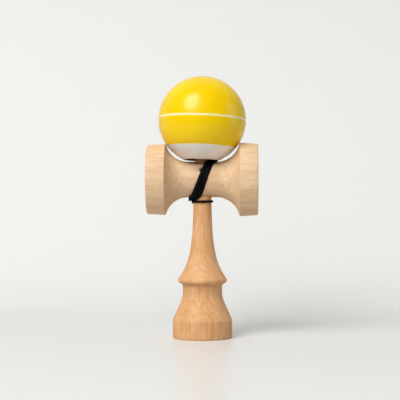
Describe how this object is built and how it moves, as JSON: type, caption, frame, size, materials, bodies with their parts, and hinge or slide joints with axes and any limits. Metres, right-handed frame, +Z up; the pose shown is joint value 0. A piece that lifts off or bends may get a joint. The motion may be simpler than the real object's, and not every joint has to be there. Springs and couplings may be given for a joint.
{
  "type": "kendama",
  "caption": "Turned wooden kendama: a handle with a spike and a base cup, a crosspiece with cups at its ends, and a lacquered ball on the spike, tied by a wound string.",
  "frame": {"origin": "On the surface that the kendama stands on, under the handle's axis", "axes": "+Z up along the handle, +X along the crosspiece towards the big cup, -Y towards the viewer"},
  "size_m": [0.0766, 0.0615, 0.1825],
  "materials": {
    "handle_wood": "smooth sanded beech",
    "crosspiece_wood": "smooth sanded beech, paler",
    "lacquered_wood": "gloss lacquer, yellow with a pale stripe and a white lower cap",
    "bead_wood": "smooth",
    "cord": "black braided cord"
  },
  "bodies": {
    "handle": {"ken": "handle_wood", "sarado": "crosspiece_wood", "string_winding": "cord", "ken_knot": "cord"},
    "bead": {"bead": "bead_wood", "bead_knot": "cord", "string_over_ball": "cord"},
    "ball": {"tama": "lacquered_wood"}
  },
  "joints": [
    {"name": "tama_lift", "type": "slide", "parent": "handle", "child": "bead", "axis": [0, 0, 1], "range_m": [0, 0.045], "deforming": ["string_over_ball"]},
    {"name": "tama_spin", "type": "hinge", "parent": "bead", "child": "ball", "pos_m": [-0.00019, 0, 0.15107], "axis": [0.0349, 0.0454, 0.9984], "continuous": true}
  ]
}
